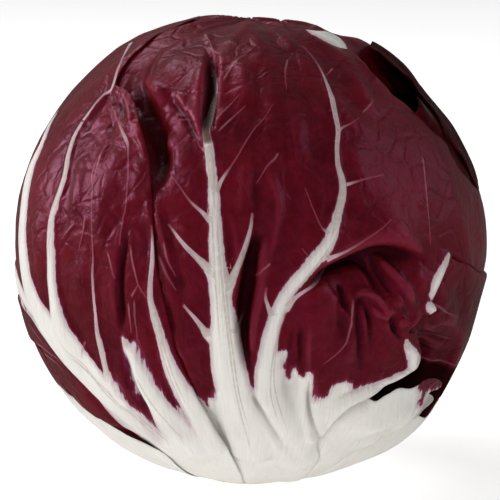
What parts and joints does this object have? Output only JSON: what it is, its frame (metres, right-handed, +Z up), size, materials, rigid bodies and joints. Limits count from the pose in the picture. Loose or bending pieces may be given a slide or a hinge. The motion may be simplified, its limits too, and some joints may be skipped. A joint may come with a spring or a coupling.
{
  "type": "radicchio head",
  "caption": "Round Chioggia radicchio head: wine-red leaves with branching white ribs, wrapped in a spiral round a cut core, standing on the cut.",
  "frame": {"origin": "middle of the flat cut under the core, where the head rests", "axes": "+Z up the core to the crown of the head; the front, with the two main white ribs, faces -Y; +X is to the right of that front"},
  "size_m": [0.1198, 0.1158, 0.1174],
  "materials": {
    "leaf_red": "satin",
    "leaf_rib_white": "satin",
    "core_white": "matte",
    "heart_pink": "satin"
  },
  "bodies": {
    "root": {"core_stump": "core_white", "heart_bud": "heart_pink", "leaf_back": "leaf_red", "leaf_back_left": "leaf_red", "leaf_back_right": "leaf_red", "leaf_back_top": "leaf_red", "leaf_front": "leaf_red", "leaf_inner_01": "leaf_red", "leaf_inner_02": "leaf_red", "leaf_inner_03": "leaf_red", "leaf_inner_04": "leaf_red", "leaf_inner_05": "leaf_red", "leaf_inner_06": "leaf_red", "leaf_inner_07": "leaf_red", "leaf_inner_08": "leaf_red", "leaf_inner_09": "leaf_red", "leaf_inner_10": "leaf_red", "leaf_inner_11": "leaf_red", "leaf_inner_12": "leaf_red", "leaf_inner_13": "leaf_red", "leaf_inner_14": "leaf_red", "leaf_left": "leaf_red", "leaf_left_low": "leaf_red", "leaf_right_base": "leaf_rib_white", "leaf_right_rib": "leaf_rib_white", "leaf_right_side": "leaf_red"}
  },
  "joints": []
}
